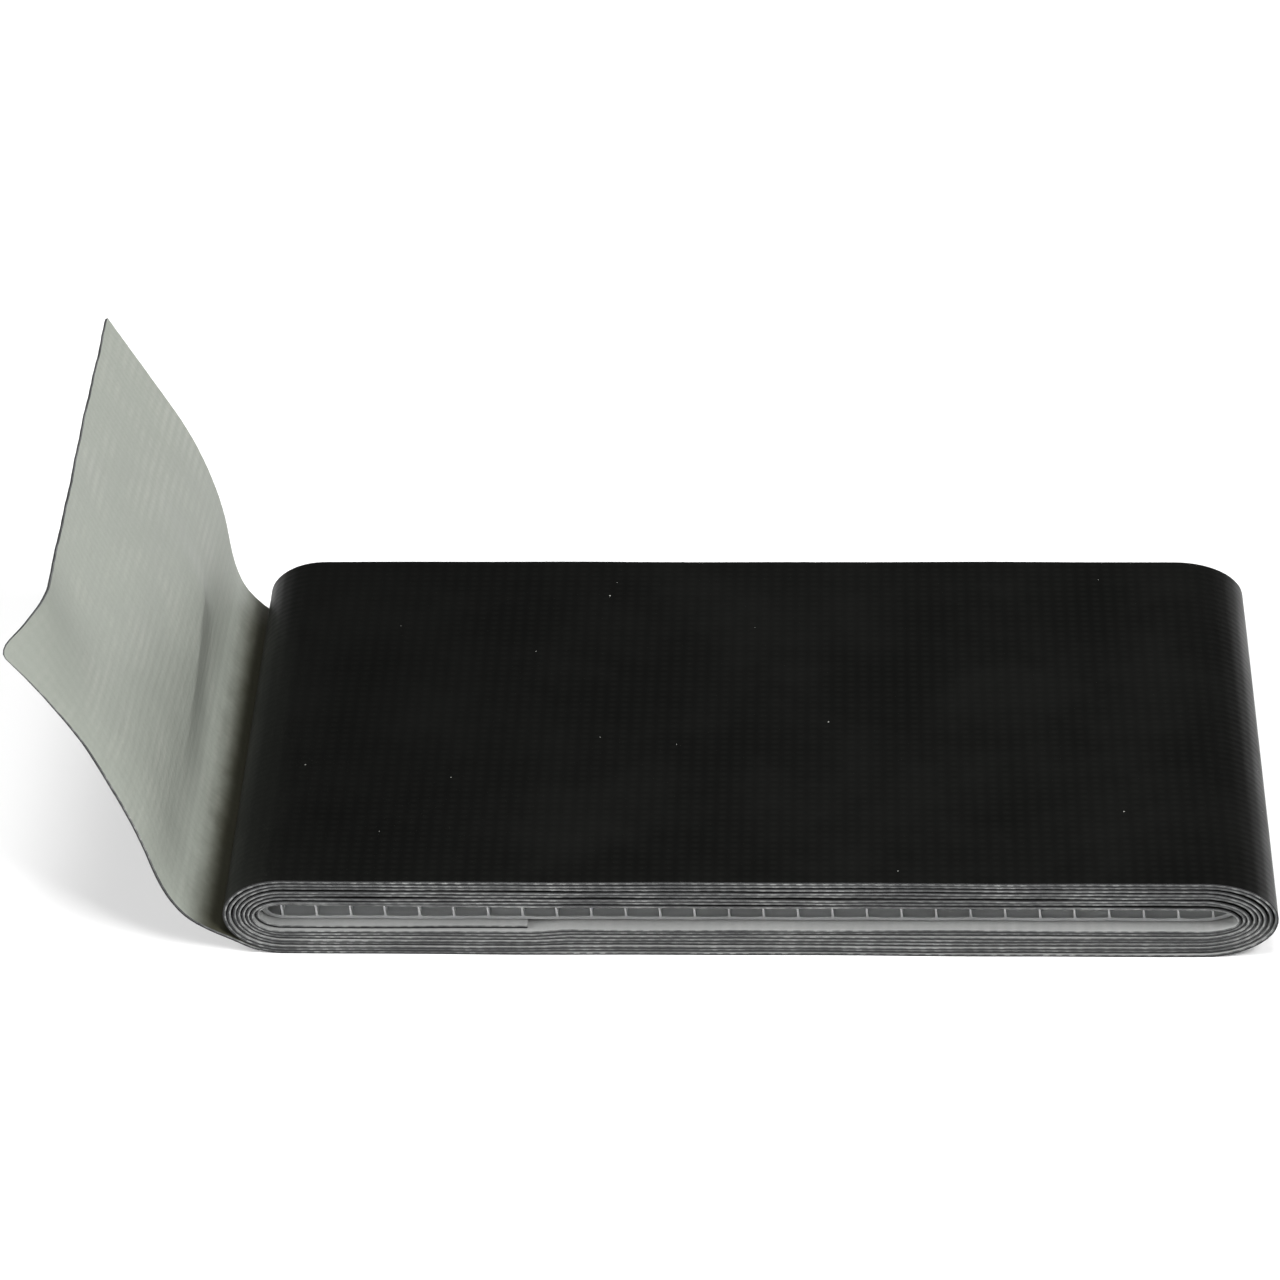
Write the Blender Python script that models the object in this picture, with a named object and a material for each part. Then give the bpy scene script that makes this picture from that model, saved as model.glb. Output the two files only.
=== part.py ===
"""Flat-wound pocket pack of cloth duct tape, for Blender 4.5.

A strip of black cloth tape is wound flat, in eight turns, round a strip of fluted twin-wall plastic board. The
strip's outer end is loose: it leaves the pack low on the left end and stands up as a free tail.

Frame: metres, +Z up, +X along the pack, +Y across the tape. The pack rests on z = 0, the board is centred on
x = 0, and the tail is at -X. The near edge of the tape is at -Y and the far edge at +Y.

Each length of tape is two bonded solids: the film, outside, and the cloth and adhesive ply, inside. The line
between them is called the strip's path. Seen from -Y the strip starts under the board, runs to the left, and goes
round clockwise: left end, top, right end, underside.
"""

import math

import bmesh
import bpy
import numpy as np
from mathutils import Vector

# Tape
TAPE_WIDTH = 0.050
FILM_THICKNESS = 0.00012
ADHESIVE_THICKNESS = 0.00014
PLY_GAP = 0.00002  # between the two plies' solids
TURNS = 8

# How tightly the turns lie on each other
TURN_GAP = 0.000055  # on the underside, where the turns are pressed flat
TOP_SLACK = 0.00004  # added to each turn on the top
LEFT_SLACK = 0.00008  # added to each turn at the left end's tip
RIGHT_SLACK = 0.00014  # added to each turn at the right end's tip

# Board
BOARD_LENGTH = 0.086
BOARD_RECESS = 0.0012  # from each edge of the tape to the board's cut end
BOARD_THICKNESS = 0.0022
BOARD_CLEARANCE = 0.00006  # to the tape above and below it
TIP_CLEARANCE = 0.00018  # to the tape past each end, where the first turn bends
LEFT_CRUSH = 0.0020  # length of the rounded, crushed tip at each end
RIGHT_CRUSH = 0.0029
LINER_THICKNESS = 0.00032
WEB_THICKNESS = 0.00026
FLUTE_PITCH = 0.00305
TIP_ROOM = 0.0018  # the least from a tip to the middle of the web next to it

# Inner end of the strip, under the board
TAB_LENGTH = 0.0216
TAB_SETBACK = 0.0003  # the inner end was laid a little inside both edges

# Free tail
PEEL_ANGLE = math.radians(37.0)  # how far round the left end the outermost tape still sticks
TAIL_LENGTH = 0.0384
TAIL_STATIONS = (0.004, 0.008, 0.012, 0.020, 0.028)
NEAR_SLOPES = (30.0, 64.0, 78.0, 70.0, 67.0, 78.0)  # degrees above level at the stations and the cut end
FAR_SLOPES = (45.0, 76.0, 86.0, 73.0, 61.0, 62.0)
EDGE_CURL = math.radians(2.0)  # the near edge leans outward
CORNER_CURL = math.radians(25.0)  # and more so at the near corner of the cut end
CURL_MARGIN = 0.007  # width of the curled edge
CORNER_REACH = 0.013  # length of the curled corner

# Bending lines of the tail, measured along it from the peel line
BEND_LINES = (0.0, 0.004, 0.008, 0.022)
BEND_GAP = 0.0003  # between neighbouring lengths of the tail
BUTT_GAP = 0.0001  # between neighbouring lengths of the wound strip

# Facets
BEND_SEGMENTS = 10
TAIL_STEP = 0.0026
CURLED_COLUMNS = 3  # across the tail's curled edge
PLAIN_COLUMNS = 4  # across the rest of it
INTEGRATION_STEPS = 6
SMOOTH_ANGLE = math.radians(35.0)

PITCH = FILM_THICKNESS + PLY_GAP + ADHESIVE_THICKNESS + TURN_GAP
FILM_SIDE = PLY_GAP / 2 + FILM_THICKNESS
ADHESIVE_SIDE = PLY_GAP / 2 + ADHESIVE_THICKNESS
NEAR_Y = -TAPE_WIDTH / 2
FAR_Y = TAPE_WIDTH / 2

# Heights of the board, and the ends of its flat stretch
BOARD_BOTTOM = FILM_SIDE + TURNS * PITCH + ADHESIVE_SIDE + BOARD_CLEARANCE
BOARD_TOP = BOARD_BOTTOM + BOARD_THICKNESS
FLAT_LEFT = LEFT_CRUSH - BOARD_LENGTH / 2
FLAT_RIGHT = BOARD_LENGTH / 2 - RIGHT_CRUSH


# ---------------------------------------------------------------- the strip's path


def low_level(turn):
    """Height of the path under the board after the given number of turns."""
    return FILM_SIDE + (TURNS - turn) * PITCH


def high_level(turn):
    """Height of the path on top of the board in the given turn, counted from 1."""
    return BOARD_TOP + BOARD_CLEARANCE + ADHESIVE_SIDE + (turn - 1) * (PITCH + TOP_SLACK)


def end_reach(turn, crush, slack):
    """How far the path stands out past the board's flat stretch in the given turn."""
    return crush + TIP_CLEARANCE + ADHESIVE_SIDE + (turn - 1) * (PITCH + slack)


def left_bend_point(turn, angle):
    """A point on the left bend: angle 0 is on the underside and pi is on the top."""
    low = low_level(turn - 1)
    high = high_level(turn)
    x = FLAT_LEFT - end_reach(turn, LEFT_CRUSH, LEFT_SLACK) * math.sin(angle)
    z = (low + high) / 2 - (high - low) / 2 * math.cos(angle)
    return x, z


def left_bend(turn, last_angle=math.pi):
    """Points round the left bend, from the underside upward."""
    count = max(2, round(BEND_SEGMENTS * last_angle / math.pi))
    return [left_bend_point(turn, last_angle * i / count) for i in range(count + 1)]


def right_bend(turn):
    """Points round the right bend, from the top downward."""
    low = low_level(turn)
    high = high_level(turn)
    reach = end_reach(turn, RIGHT_CRUSH, RIGHT_SLACK)
    angles = [math.pi * i / BEND_SEGMENTS for i in range(BEND_SEGMENTS + 1)]
    return [
        (FLAT_RIGHT + reach * math.sin(a), (low + high) / 2 + (high - low) / 2 * math.cos(a))
        for a in angles
    ]


def turn_path(turn):
    """One full turn: left end, top, right end, underside. The last turn runs on up to the peel line."""
    path = left_bend(turn) + right_bend(turn)
    if turn < TURNS:
        return path + [(FLAT_LEFT + BUTT_GAP, low_level(turn))]
    path += left_bend(TURNS + 1, PEEL_ANGLE)
    return shortened(path, BEND_GAP / 2)


def shortened(path, length):
    """The path with a short length taken off its last segment."""
    last = Vector(path[-1])
    before = Vector(path[-2])
    last -= (last - before).normalized() * length
    return path[:-1] + [tuple(last)]


def tab_path():
    """The strip's inner end, flat under the board."""
    height = low_level(0)
    return [(FLAT_LEFT + TAB_LENGTH, height), (FLAT_LEFT + BUTT_GAP, height)]


def offset_path(path, distance):
    """The path moved outward, with mitred corners so that a ply keeps its thickness."""
    points = [Vector(p) for p in path]
    tangents = [(b - a).normalized() for a, b in zip(points, points[1:])]
    moved = []
    for i, point in enumerate(points):
        before = tangents[max(i - 1, 0)]
        after = tangents[min(i, len(tangents) - 1)]
        middle = (before + after).normalized()
        outward = Vector((-middle.y, middle.x))
        moved.append(point + outward * (distance / middle.dot(before)))
    return moved


# ---------------------------------------------------------------- the tail's surface


def tail_slope(s, y):
    """Slope of the tail above level, in radians, at length s from the peel line and at y across the tape."""
    peel = left_bend_slope(PEEL_ANGLE)
    stations = (0.0, *TAIL_STATIONS, max(TAIL_LENGTH, TAIL_STATIONS[-1] + TAIL_STEP))
    near = np.interp(s, stations, (peel, *np.radians(NEAR_SLOPES)))
    far = np.interp(s, stations, (peel, *np.radians(FAR_SLOPES)))
    across = (y - NEAR_Y) / TAPE_WIDTH
    return near + (far - near) * across - curl(s, y)


def left_bend_slope(angle):
    """Slope above level of the outermost left bend, where the tail leaves it."""
    half_height = (high_level(TURNS + 1) - low_level(TURNS)) / 2
    reach = end_reach(TURNS + 1, LEFT_CRUSH, LEFT_SLACK)
    return math.atan2(half_height * math.sin(angle), reach * math.cos(angle))


def curl(s, y):
    """Outward lean of the near edge, in radians: slight along the edge and strongest at the corner."""
    margin = max(0.0, 1.0 - (y - NEAR_Y) / CURL_MARGIN) ** 2
    start = min(1.0, s / TAIL_STATIONS[0])
    corner = max(0.0, 1.0 - (TAIL_LENGTH - s) / CORNER_REACH)
    return margin * (EDGE_CURL * start + CORNER_CURL * corner)


def tail_points(lengths, y):
    """Points of the tail's path surface at the given lengths, in rising order, and at y."""
    x, z = left_bend_point(TURNS + 1, PEEL_ANGLE)
    s = 0.0
    points = []
    for target in lengths:
        step = (target - s) / INTEGRATION_STEPS
        for _ in range(INTEGRATION_STEPS):
            slope = tail_slope(s + step / 2, y)
            x -= step * math.cos(slope)
            z += step * math.sin(slope)
            s += step
        points.append(Vector((x, y, z)))
    return points


def tail_columns():
    """Places across the tape: close together in the curled edge and wide apart elsewhere."""
    margin_y = NEAR_Y + CURL_MARGIN
    curled = np.linspace(NEAR_Y, margin_y, CURLED_COLUMNS + 1)
    rest = np.linspace(margin_y, FAR_Y, PLAIN_COLUMNS + 1)[1:]
    return [float(y) for y in (*curled, *rest)]


def bend_line(s):
    """Two points of the straight line across the tail at length s, clear of the curled edge."""
    return tail_points([s], tail_columns()[CURLED_COLUMNS])[0], tail_points([s], FAR_Y)[0]


# ---------------------------------------------------------------- solids


def make_object(name, mesh_data, material, parent=None):
    """Put a mesh in the scene under its node's name, smooth where it is round."""
    mesh = bpy.data.meshes.new(name)
    mesh_data.to_mesh(mesh)
    mesh_data.free()
    mesh.shade_smooth()
    mesh.set_sharp_from_angle(angle=SMOOTH_ANGLE)
    mesh.materials.append(material)
    piece = bpy.data.objects.new(name, mesh)
    bpy.context.scene.collection.objects.link(piece)
    piece.parent = parent
    return piece


def extrude_along_y(section, faces, near_y, far_y):
    """A solid from a flat section: points in x and z, and faces that are lists of point numbers."""
    solid = bmesh.new()
    corners = [solid.verts.new((x, near_y, z)) for x, z in section]
    flat = [solid.faces.new([corners[i] for i in face]) for face in faces]
    grown = bmesh.ops.extrude_face_region(solid, geom=flat, use_keep_orig=True)
    moved = [g for g in grown["geom"] if isinstance(g, bmesh.types.BMVert)]
    bmesh.ops.translate(solid, verts=moved, vec=(0.0, far_y - near_y, 0.0))
    bmesh.ops.recalc_face_normals(solid, faces=solid.faces)
    return solid


def wound_ply(name, path, inner, outer, material, setback=0.0):
    """One ply of a wound length of tape, between two distances from the path."""
    inside = offset_path(path, inner)
    outside = offset_path(path, outer)
    count = len(path)
    section = [tuple(p) for p in inside + outside]
    faces = [(i, i + 1, count + i + 1, count + i) for i in range(count - 1)]
    solid = extrude_along_y(section, faces, NEAR_Y + setback, FAR_Y - setback)
    return make_object(name, solid, material)


def wound_length(name, path, setback=0.0):
    """A length of the wound strip: its film and its adhesive ply."""
    wound_ply(f"{name}_film", path, PLY_GAP / 2, FILM_SIDE, make_film(name), setback)
    wound_ply(f"{name}_adhesive", path, -ADHESIVE_SIDE, -PLY_GAP / 2, make_adhesive(name), setback)


def tail_sheet(lengths, origin):
    """A single-sided sheet of the tail's path surface, triangulated, relative to an origin."""
    columns = [tail_points(lengths, y) for y in tail_columns()]
    sheet = bmesh.new()
    grid = [[sheet.verts.new(p - origin) for p in column] for column in columns]
    for near, far in zip(grid, grid[1:]):
        for i in range(len(lengths) - 1):
            sheet.faces.new((near[i], near[i + 1], far[i + 1]))
            sheet.faces.new((near[i], far[i + 1], far[i]))
    return sheet


def thicken(piece, inner, outer):
    """Give a sheet a body between two distances from it, counted towards the film side."""
    solidify = piece.modifiers.new("ply", "SOLIDIFY")
    solidify.thickness = outer - inner
    solidify.offset = 0.0
    solidify.use_even_offset = True


def tail_ply(name, lengths, origin, inner, outer, material, parent):
    """One ply of a length of the tail."""
    sheet = tail_sheet(lengths, origin)
    sheet.normal_update()
    middle = (inner + outer) / 2
    normals = {vert: vert.normal.copy() for vert in sheet.verts}
    for vert, normal in normals.items():
        vert.co += normal * middle
    piece = make_object(name, sheet, material, parent)
    thicken(piece, inner, outer)
    return piece


def make_tail_link(number, parent):
    """One length of the tail between two bending lines, hung on an empty that lies on its hinge."""
    start = BEND_LINES[number - 1]
    is_last = number == len(BEND_LINES)
    stop = TAIL_LENGTH if is_last else BEND_LINES[number] - BEND_GAP / 2
    near, far = bend_line(start)
    origin = (near + far) / 2
    hinge = bpy.data.objects.new(f"hinge_{number}", None)
    hinge.empty_display_size = TAPE_WIDTH / 10
    hinge.parent = parent
    hinge.location = origin - total_offset(parent)
    bpy.context.scene.collection.objects.link(hinge)
    count = max(2, math.ceil((stop - start) / TAIL_STEP))
    lengths = [float(s) for s in np.linspace(start + BEND_GAP / 2, stop, count + 1)]
    name = f"tail_{number}"
    tail_ply(f"{name}_film", lengths, origin, PLY_GAP / 2, FILM_SIDE, make_film(name), hinge)
    tail_ply(f"{name}_adhesive", lengths, origin, -ADHESIVE_SIDE, -PLY_GAP / 2, make_adhesive(name), hinge)
    return hinge


def total_offset(hinge):
    """Where a chained empty lies in the world."""
    if hinge is None:
        return Vector()
    return hinge.location + total_offset(hinge.parent)


def flute_places():
    """The x of each web of the board: a whole number of flutes, centred on the board."""
    flutes = max(1, int((BOARD_LENGTH - 2 * TIP_ROOM) / FLUTE_PITCH))
    return [(i - flutes / 2) * FLUTE_PITCH for i in range(flutes + 1)]


def half_height(x):
    """Half the board's thickness at x: full on its flat stretch and less in its rounded tips."""
    past_left = (FLAT_LEFT - x) / LEFT_CRUSH
    past_right = (x - FLAT_RIGHT) / RIGHT_CRUSH
    past = max(0.0, past_left, past_right)
    return BOARD_THICKNESS / 2 * math.sqrt(1.0 - past * past)


def board_section():
    """The board's section: two liners, the webs between them, and a rounded solid tip at each end."""
    middle = (BOARD_BOTTOM + BOARD_TOP) / 2
    places = []
    for x in flute_places():
        places += [x - WEB_THICKNESS / 2, x + WEB_THICKNESS / 2]
    points = []
    for x in places:
        half = half_height(x)
        heights = (-half, LINER_THICKNESS - half, half - LINER_THICKNESS, half)
        points += [(x, middle + height) for height in heights]
    faces = []
    for column in range(len(places) - 1):
        rows = (0, 1, 2) if column % 2 == 0 else (0, 2)
        for row in rows:
            a = 4 * column + row
            faces.append((a, a + 4, a + 5, a + 1))
    add_tip(points, faces, (0, 1, 2, 3), FLAT_LEFT, -LEFT_CRUSH)
    last = 4 * (len(places) - 1)
    add_tip(points, faces, (last, last + 1, last + 2, last + 3), FLAT_RIGHT, RIGHT_CRUSH)
    return points, faces


def add_tip(points, faces, edge, base_x, crush):
    """Close one end of the board's section, past its last web, with what is left of its half ellipse."""
    middle = (BOARD_BOTTOM + BOARD_TOP) / 2
    past = max(0.0, (points[edge[0]][0] - base_x) / crush)
    start = math.asin(past)
    turn = math.pi - 2 * start
    angles = [start + turn * i / BEND_SEGMENTS for i in range(BEND_SEGMENTS + 1)]
    if past > 0.0:
        angles = angles[1:-1]
    first = len(points)
    for angle in angles:
        height = middle - BOARD_THICKNESS / 2 * math.cos(angle)
        points.append((base_x + crush * math.sin(angle), height))
    faces.append((*edge, *range(len(points) - 1, first - 1, -1)))


def make_board():
    """The fluted board, its flutes open at both edges of the tape."""
    points, faces = board_section()
    solid = extrude_along_y(points, faces, NEAR_Y + BOARD_RECESS, FAR_Y - BOARD_RECESS)
    colour = (0.62, 0.64, 0.63)
    material = make_material("core_board", colour, roughness=0.35)
    return make_object("core_board", solid, material)


# ---------------------------------------------------------------- materials


def make_material(name, colour, roughness):
    """A plain Principled material."""
    material = bpy.data.materials.new(name)
    material.use_nodes = True
    shader = material.node_tree.nodes["Principled BSDF"]
    shader.inputs["Base Color"].default_value = (*colour, 1.0)
    shader.inputs["Roughness"].default_value = roughness
    shader.inputs["Metallic"].default_value = 0.0
    material.diffuse_color = (*colour, 1.0)
    return material


def make_film(name):
    """Black polyethylene film."""
    return make_material(f"{name}_film", (0.008, 0.008, 0.008), roughness=0.42)


def make_adhesive(name):
    """Grey-green adhesive with the cloth in it."""
    return make_material(f"{name}_adhesive", (0.34, 0.38, 0.34), roughness=0.55)


def main():
    for old in list(bpy.data.objects):
        bpy.data.objects.remove(old, do_unlink=True)
    make_board()
    wound_length("start_tab", tab_path(), setback=TAB_SETBACK)
    for turn in range(1, TURNS + 1):
        wound_length(f"turn_{turn}", turn_path(turn))
    hinge = None
    for number in range(1, len(BEND_LINES) + 1):
        hinge = make_tail_link(number, hinge)


main()
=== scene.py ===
"""Looks for the flat-wound pack of cloth duct tape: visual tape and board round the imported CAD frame."""

import math

import bmesh
import bpy
import numpy as np
from mathutils import Matrix, Vector


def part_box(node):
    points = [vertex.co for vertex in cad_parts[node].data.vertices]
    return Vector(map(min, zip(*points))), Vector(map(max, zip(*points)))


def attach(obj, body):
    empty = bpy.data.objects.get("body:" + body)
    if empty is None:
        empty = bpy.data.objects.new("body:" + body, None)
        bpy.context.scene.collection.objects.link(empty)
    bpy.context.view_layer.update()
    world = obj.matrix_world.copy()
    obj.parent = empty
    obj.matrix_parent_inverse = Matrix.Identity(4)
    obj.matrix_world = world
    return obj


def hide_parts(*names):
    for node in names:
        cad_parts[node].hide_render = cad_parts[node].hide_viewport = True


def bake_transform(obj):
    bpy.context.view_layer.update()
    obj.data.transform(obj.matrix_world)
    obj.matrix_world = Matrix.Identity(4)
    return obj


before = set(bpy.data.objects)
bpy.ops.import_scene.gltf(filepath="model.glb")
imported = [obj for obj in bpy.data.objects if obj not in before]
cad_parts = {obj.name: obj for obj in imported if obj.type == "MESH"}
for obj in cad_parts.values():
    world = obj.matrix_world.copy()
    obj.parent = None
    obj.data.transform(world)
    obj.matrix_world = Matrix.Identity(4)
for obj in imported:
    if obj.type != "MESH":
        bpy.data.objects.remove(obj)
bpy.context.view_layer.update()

# ---------------------------------------------------------------- sizes read from the frame

TURNS = 8
FILM = [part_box(f"turn_{turn}_film") for turn in range(1, TURNS + 1)]
TAB_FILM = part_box("start_tab_film")
TAB_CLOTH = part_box("start_tab_adhesive")
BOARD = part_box("core_board")

FILM_THICKNESS = TAB_FILM[1][2] - TAB_FILM[0][2]
CLOTH_THICKNESS = TAB_CLOTH[1][2] - TAB_CLOTH[0][2]
PLY_GAP = TAB_CLOTH[0][2] - TAB_FILM[1][2]
HALF_WIDTH = FILM[0][1][1]
TAB_HALF_WIDTH = TAB_FILM[1][1]
PATH_TO_OUTSIDE = FILM_THICKNESS + PLY_GAP / 2
PLY_FACES = {  # each ply's inner and outer distance from the path, which runs between the two
    "film": (PLY_GAP / 2, PLY_GAP / 2 + FILM_THICKNESS),
    "adhesive": (-PLY_GAP / 2 - CLOTH_THICKNESS, -PLY_GAP / 2),
}

# ---------------------------------------------------------------- sizes of the design, as in the CAD

RIGHT_CRUSH = 0.0029  # length of the board's rounded tip at +X
BUTT_GAP = 0.0001
FLAT_LEFT = TAB_FILM[0][0] - BUTT_GAP
FLAT_RIGHT = BOARD[1][0] - RIGHT_CRUSH
PEEL_ANGLE = math.radians(37.0)
TAIL_LENGTH = 0.0384
TAIL_STATIONS = (0.004, 0.008, 0.012, 0.020, 0.028)
NEAR_SLOPES = (30.0, 64.0, 78.0, 70.0, 67.0, 78.0)  # degrees above level at the stations and the cut end
FAR_SLOPES = (45.0, 76.0, 86.0, 73.0, 61.0, 62.0)
EDGE_CURL = math.radians(2.0)  # the near edge leans outward
CORNER_CURL = math.radians(25.0)  # and more so at the near corner of the cut end
CURL_MARGIN = 0.007  # width of the curled edge
CORNER_REACH = 0.013  # length of the curled corner
BEND_LINES = (0.0, 0.004, 0.008, 0.022)  # the hinges' places along the tail

# ---------------------------------------------------------------- sizes of the fine surface

WEFT_PITCH = 0.001155  # between the yarns that run across the tape
WARP_PITCH = 0.00082  # between the yarns that run along it
SAMPLES_PER_YARN = 3
TAIL_SAMPLES_PER_YARN = 4
YARN_RELIEF = 0.000012
YARN_END = 0.000022  # how far cut yarns stand out of the tape's edge
YARN_END_WIDTH = 1.6  # above 1 the cut yarns' ends are wide and the dips between them narrow
EDGE_ZONE = 0.965  # share of the half width past which the wound tape's edge strays
TAIL_EDGE_ZONE = 0.95
EDGE_WANDER = 0.00012  # how far the strip strays sideways as it is wound
SEED = 10  # of the turns' looseness
OUTER_COLUMNS = 24  # across the outermost turn, where the weave is modelled
PACK_OVERLAP = 0.0012  # the wound tape hands over to the tail this far before the peel line
CREASE_PLACE = 0.0134  # along the tail, midway across it
CREASE_SLANT = 0.23  # the crease lies this much further along for each unit across
CREASE_NEAR_END = -0.014  # where the crease begins, towards the near edge
CREASE_NEAR_FADE = 0.017
CREASE_FAR_END = 0.0142  # where it runs out, towards the far edge
CREASE_FAR_FADE = 0.0045
CREASE_DEPTH = 0.00050
CREASE_BELOW = 0.0048  # length of the rise to the fold
CREASE_ABOVE = 0.011  # length over which the tape past the fold comes back
END_ZONE = 0.006  # before the cut: here the crease dies away and the rows take the cut's shape
CUT_SLANT = 0.0005  # the far edge is this much longer: the end wasn't cut quite square
CORNER_RADIUS = 0.0009  # of the near corner, where it has rubbed round
TAB_RUN_OUT = 0.022  # the first turn drifts out from the tab's setback over this length
RISE_RUN = 0.004  # past the tab's end the turns under the board close up to it over this length

BOARD_CORNER = 0.00004  # rounding of the board's cut
CUT_UNEVENNESS = 0.00005
LINER_THICKNESS = 0.00032
WEB_THICKNESS = 0.00026
FLUTE_PITCH = 0.00305
TIP_ROOM = 0.0018  # the least from a tip to the middle of the web next to it
WEB_SLANT = 0.00016  # the webs lean: their tops stand this far towards -X
LINER_SAG = 0.00005  # between webs
LINER_PLACES = (0.12, 0.3, 0.5, 0.7, 0.88)  # shares of the way from one web to the next
WEB_WAIST = ((0.18, 0.16), (0.5, 0.22), (0.82, 0.16))  # share of a web's height, and its thinning there
TIP_STEPS = 16

BLACK = (0.0024, 0.0025, 0.0022)
EDGE_BLACK = (0.008, 0.008, 0.009)
EDGE_SMEAR = (0.055, 0.057, 0.057)
DUST = (0.32, 0.32, 0.30)
ADHESIVE = (0.300, 0.320, 0.283)
YARN = (0.41, 0.415, 0.375)
PEEL_SHADE = (0.14, 0.13, 0.10)  # painted shade on the adhesive just past the peel line, in the wedge beside the pack's left end
WOUND_TINT_AND_SHADE = (0.87, 0.83, 0.92)  # tint of adhesive inside the pack, darkened as painted shade for the recess under the board
YARN_END_PALE = (0.235, 0.240, 0.235)
YARN_END_GREY = (0.10, 0.103, 0.103)
YARN_END_DARK = (0.026, 0.027, 0.028)
BOARD_MILKY = (0.66, 0.665, 0.67)
BOARD_PALE = (0.77, 0.78, 0.78)
BOARD_LINE = (0.83, 0.84, 0.84)
# painted shade tones: the board's cut faces, its foot and its tips
BOARD_CUT_SHADE = (0.27, 0.275, 0.275)
BOARD_FOOT_SHADE = (0.24, 0.245, 0.245)
BOARD_TIP_SHADE = (0.16, 0.163, 0.163)
FINE_BUMP = 0.00003  # height of the materials' bumps

# ---------------------------------------------------------------- view

CAMERA_AZIMUTH = math.radians(2.49)
CAMERA_ELEVATION = math.radians(35.0)
CAMERA_ROLL = math.radians(-1.35)
CAMERA_DISTANCE = 0.4785
CAMERA_TARGET = (-0.00991, 0.0, 0.01661)
CAMERA_LENS = 148.2
FLOOR_HALF_SIDE = 3.0


# ---------------------------------------------------------------- small numeric helpers


def wave(place, seed, lengths=(0.047, 0.019, 0.0083), weights=(0.5, 0.32, 0.18)):
    """Smooth repeatable wobble from -1 to 1 along a length."""
    phases = np.random.default_rng(seed).uniform(0, 2 * np.pi, len(lengths))
    total = np.zeros_like(np.asarray(place, float))
    for length, weight, phase in zip(lengths, weights, phases):
        total = total + weight * np.sin(2 * np.pi * place / length + phase)
    return total


def ease(t):
    """Smooth step from 0 to 1."""
    t = np.clip(t, 0.0, 1.0)
    return t * t * (3 - 2 * t)


def yarn_bump(place, pitch):
    """Rounded ridge on each yarn: 1 on its back and 0 between two."""
    return 0.5 + 0.5 * np.cos(2 * np.pi * place / pitch)


# ---------------------------------------------------------------- the wound strip's path


def low_level(turn):
    """Height of the path under the board after the given number of turns."""
    if turn == 0:
        return TAB_FILM[1][2] + PLY_GAP / 2
    return FILM[turn - 1][0][2] + PATH_TO_OUTSIDE


def high_level(turn):
    """Height of the path on top in the given turn; one past the last turn carries on at the same step."""
    if turn > TURNS:
        return 2 * high_level(TURNS) - high_level(TURNS - 1)
    return FILM[turn - 1][1][2] - PATH_TO_OUTSIDE


def left_tip(turn):
    """Where the path is furthest left in the given turn; one past the last carries on at the same step."""
    if turn > TURNS:
        return 2 * left_tip(TURNS) - left_tip(TURNS - 1)
    return FILM[turn - 1][0][0] + PATH_TO_OUTSIDE


def right_tip(turn):
    """Where the path is furthest right in the given turn."""
    return FILM[turn - 1][1][0] - PATH_TO_OUTSIDE


def half_ellipse(base_x, tip_x, start_z, stop_z, last_angle, count):
    """Points from (base_x, start_z) round tip_x towards (base_x, stop_z)."""
    angles = np.linspace(0, last_angle, count)
    x = base_x + (tip_x - base_x) * np.sin(angles)
    z = (start_z + stop_z) / 2 + (start_z - stop_z) / 2 * np.cos(angles)
    return np.stack([x, z], 1)


def turn_outline(turn):
    """Fine outline of one turn, clockwise from the underside at the left."""
    parts = [
        half_ellipse(FLAT_LEFT, left_tip(turn), low_level(turn - 1), high_level(turn), math.pi, 240),
        half_ellipse(FLAT_RIGHT, right_tip(turn), high_level(turn), low_level(turn), math.pi, 240),
    ]
    if turn < TURNS:
        parts.append(np.array([[FLAT_LEFT, low_level(turn)]]))
    else:
        end = half_ellipse(
            FLAT_LEFT, left_tip(turn + 1), low_level(turn), high_level(turn + 1), PEEL_ANGLE, 120
        )
        parts.append(trimmed(end, PACK_OVERLAP))
    return np.concatenate(parts)


def arc_lengths(points):
    """The length along an outline at each of its points."""
    steps = np.linalg.norm(np.diff(points, axis=0), axis=1)
    return np.concatenate([[0.0], np.cumsum(steps)])


def trimmed(points, length):
    """The outline without its last stretch."""
    s = arc_lengths(points)
    keep = s < s[-1] - length
    stop = [np.interp(s[-1] - length, s, points[:, axis]) for axis in (0, 1)]
    return np.concatenate([points[keep], [stop]])


def resampled(points, step):
    """Evenly spaced points of an outline, and each one's length along it."""
    s = arc_lengths(points)
    count = max(3, round(s[-1] / step) + 1)
    even = np.linspace(0, s[-1], count)
    return np.stack([np.interp(even, s, points[:, axis]) for axis in (0, 1)], 1), even


def outward_normals(points):
    """Unit normals of an outline, pointing out of the pack."""
    tangents = np.gradient(points, axis=0)
    tangents /= np.linalg.norm(tangents, axis=1)[:, None]
    return np.stack([-tangents[:, 1], tangents[:, 0]], 1)


def looseness(points):
    """How far a turn may stray at each point: a little on the flats and more round the ends."""
    tight = 0.000013
    top = 0.00003 * ease((points[:, 1] - BOARD[1][2]) / 0.0006)
    left = 0.00005 * ease((FLAT_LEFT - points[:, 0]) / 0.002)
    right = 0.00007 * ease((points[:, 0] - FLAT_RIGHT) / 0.002)
    return tight + np.maximum.reduce([top * ((left + right) == 0), left, right])


def rise_past_tab(points, turn):
    """How far each point of a turn is raised on the underside, where no tab lies between it and the board."""
    low, high = low_level(turn), high_level(turn)
    share = (low_level(0) - low_level(1)) * (1 - turn / TURNS)
    under = ease(1.0 - 2 * (points[:, 1] - low) / (high - low))
    return share * under * ease((points[:, 0] - TAB_FILM[1][0]) / RISE_RUN)


# ---------------------------------------------------------------- meshes


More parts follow.
